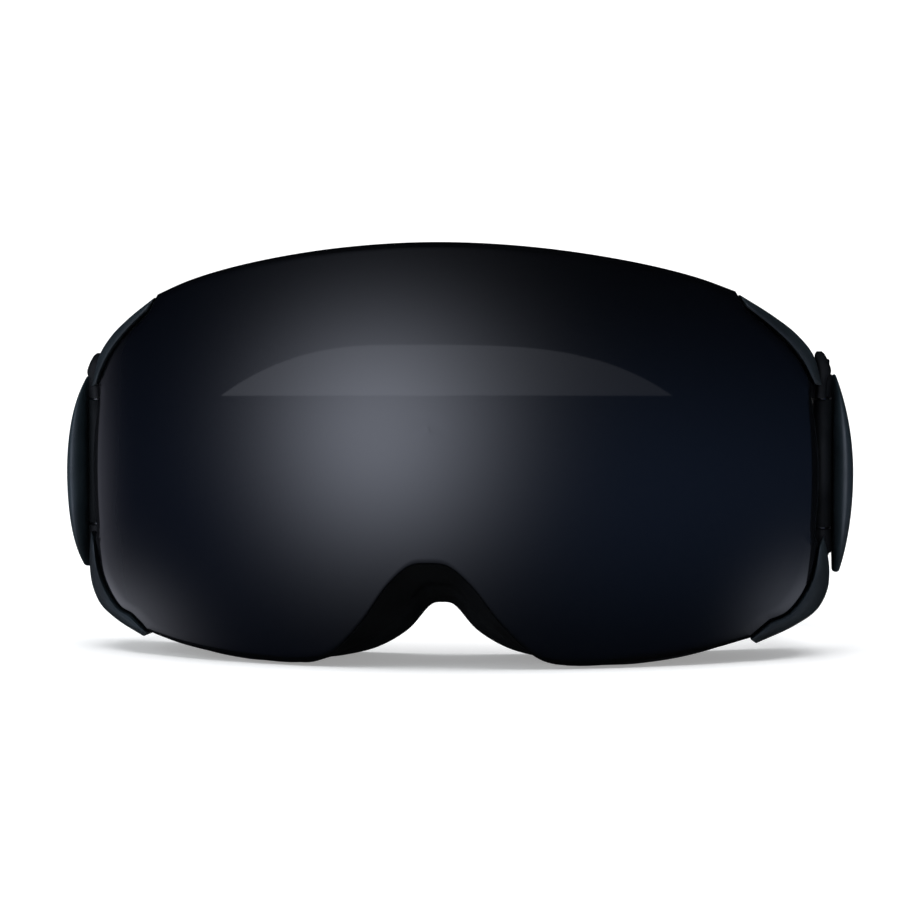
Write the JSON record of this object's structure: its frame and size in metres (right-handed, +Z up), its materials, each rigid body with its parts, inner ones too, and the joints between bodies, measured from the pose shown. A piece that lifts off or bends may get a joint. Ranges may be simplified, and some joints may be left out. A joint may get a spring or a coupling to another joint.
{
  "type": "ski goggles",
  "caption": "Ski goggles with a dark curved magnetic lens, a flexible frame with face foam, hinged outriggers and an elastic strap.",
  "frame": {"origin": "on the surface the goggles stand on, at the middle of their width and of their length from the lens to the back of the strap", "axes": "+Z up, -Y the way the goggles look, +X to the viewer's right when the lens is seen from the front"},
  "size_m": [0.1886, 0.216, 0.0949],
  "materials": {
    "frame_rubber": "matte soft-touch",
    "arm": "matte",
    "cover": "matte soft-touch",
    "trim": "matte",
    "mirror_lens": "dark mirror coating",
    "inner_lens": "clear, tinted",
    "magnet": "nickel plated",
    "steel": "satin",
    "foam": "open-cell foam",
    "fleece": "brushed fleece",
    "strap": "woven elastic",
    "silicone": "satin"
  },
  "bodies": {
    "frame": {"face_frame": "frame_rubber", "frame_magnet_1": "magnet", "frame_magnet_2": "magnet", "frame_magnet_3": "magnet", "frame_magnet_4": "magnet", "frame_magnet_5": "magnet", "frame_magnet_6": "magnet", "vent_foam_top": "foam", "vent_foam_left": "foam", "vent_foam_right": "foam", "foam_base": "foam", "foam_comfort": "foam", "foam_fleece": "fleece", "hinge_pin_left": "steel", "hinge_pin_right": "steel", "strap_webbing": "strap", "grip_strip_1": "silicone", "grip_strip_2": "silicone", "grip_strip_3": "silicone"},
    "lens": {"outer_lens": "mirror_lens", "lens_spacer": "foam", "inner_lens": "inner_lens", "lens_carrier": "trim", "lens_magnet_1": "magnet", "lens_magnet_2": "magnet", "lens_magnet_3": "magnet", "lens_magnet_4": "magnet", "lens_magnet_5": "magnet", "lens_magnet_6": "magnet"},
    "outrigger_left": {"outrigger_arm_left": "arm", "outrigger_cover_left": "cover", "cover_screw_1_left": "steel", "cover_screw_2_left": "steel", "strap_fold_left": "strap"},
    "outrigger_right": {"outrigger_arm_right": "arm", "outrigger_cover_right": "cover", "cover_screw_1_right": "steel", "cover_screw_2_right": "steel", "strap_fold_right": "strap"},
    "adjuster_left": {"strap_adjuster_left": "trim"},
    "adjuster_right": {"strap_adjuster_right": "trim"}
  },
  "joints": [
    {"name": "lens_release", "type": "slide", "parent": "frame", "child": "lens", "axis": [0, -1, 0], "range_m": [0, 0.09]},
    {"name": "outrigger_left_hinge", "type": "hinge", "parent": "frame", "child": "outrigger_left", "pos_m": [-0.0872, -0.0575, 0.045], "axis": [0, 0, 1], "range_deg": [-4, 30], "deforming": ["strap_fold_left"]},
    {"name": "outrigger_right_hinge", "type": "hinge", "parent": "frame", "child": "outrigger_right", "pos_m": [0.0872, -0.0575, 0.045], "axis": [0, 0, -1], "range_deg": [-4, 30], "deforming": ["strap_fold_right"]},
    {"name": "adjuster_left_slide", "type": "slide", "parent": "frame", "child": "adjuster_left", "axis": [0.1281, 0.9732, -0.1912], "range_m": [0, 0.022]},
    {"name": "adjuster_right_slide", "type": "slide", "parent": "frame", "child": "adjuster_right", "axis": [-0.1281, 0.9732, -0.1912], "range_m": [0, 0.022]}
  ]
}
